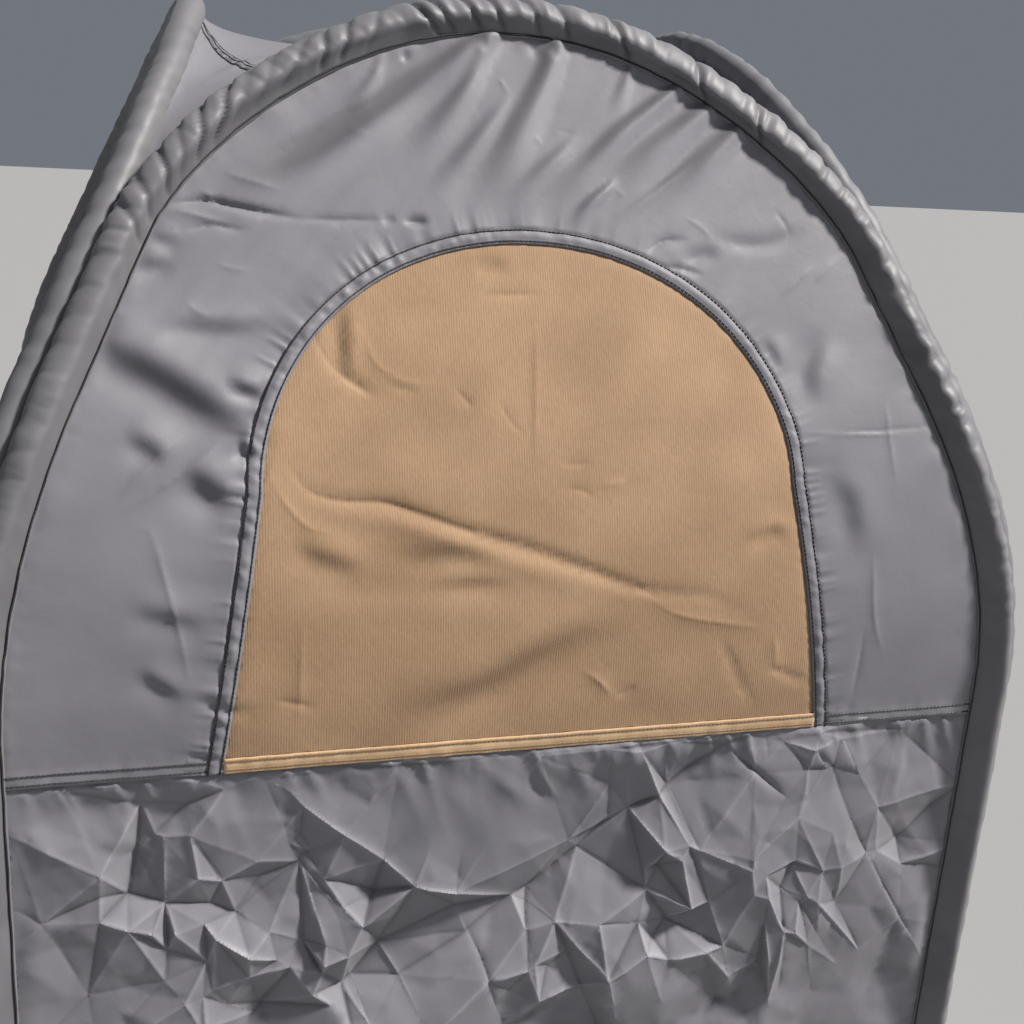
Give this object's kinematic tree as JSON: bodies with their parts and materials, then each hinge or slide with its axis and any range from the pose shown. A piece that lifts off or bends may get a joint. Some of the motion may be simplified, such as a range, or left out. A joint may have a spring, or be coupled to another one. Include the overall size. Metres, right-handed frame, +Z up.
{
  "type": "pop-up toilet tent",
  "caption": "Square pop-up toilet tent: sprung hoops in cloth sleeves hold upright walls, inward-leaning arched upper panels with ribbed windows, a zipped door and a small roof.",
  "frame": {"origin": "centre of the square plan on the ground", "axes": "+Z up; -Y is outwards from the pictured window face; the zipped door faces +X"},
  "size_m": [1.264, 1.264, 1.8934],
  "materials": {
    "grey_polyester": "coated plain-weave polyester, softly shiny, creased",
    "sleeve_polyester": "the same coated polyester, gathered round the hoop",
    "tan_ribbed_cloth": "matt cloth with fine upright ribs",
    "spring_steel": "bare spring wire",
    "black_zip_tape": "woven zip tape with a coil",
    "zip_metal": "enamelled die-cast slider",
    "black_webbing": "heavy webbing"
  },
  "bodies": {
    "root": {"corner_patch_back_left": "black_webbing", "corner_patch_back_right": "black_webbing", "corner_patch_front_left": "black_webbing", "corner_patch_front_right": "black_webbing", "door_flap": "grey_polyester", "door_threshold": "grey_polyester", "door_zip": "black_zip_tape", "door_zip_slider_outer": "zip_metal", "door_zip_slider_spare": "zip_metal", "hoop_back": "spring_steel", "hoop_front": "spring_steel", "hoop_left": "spring_steel", "hoop_right": "spring_steel", "hoop_sleeve_back": "sleeve_polyester", "hoop_sleeve_front": "sleeve_polyester", "hoop_sleeve_left": "sleeve_polyester", "hoop_sleeve_right": "sleeve_polyester", "lower_wall_back": "grey_polyester", "lower_wall_front": "grey_polyester", "lower_wall_left": "grey_polyester", "lower_wall_right_far": "grey_polyester", "lower_wall_right_near": "grey_polyester", "roof_gusset_back_left": "grey_polyester", "roof_gusset_back_right": "grey_polyester", "roof_gusset_front_left": "grey_polyester", "roof_gusset_front_right": "grey_polyester", "roof_top": "grey_polyester", "upper_panel_back": "grey_polyester", "upper_panel_front": "grey_polyester", "upper_panel_left": "grey_polyester", "upper_panel_right": "grey_polyester", "window_band_back": "grey_polyester", "window_band_front": "grey_polyester", "window_cloth_back": "tan_ribbed_cloth", "window_cloth_front": "tan_ribbed_cloth", "window_sill_back": "tan_ribbed_cloth", "window_sill_front": "tan_ribbed_cloth"}
  },
  "joints": []
}
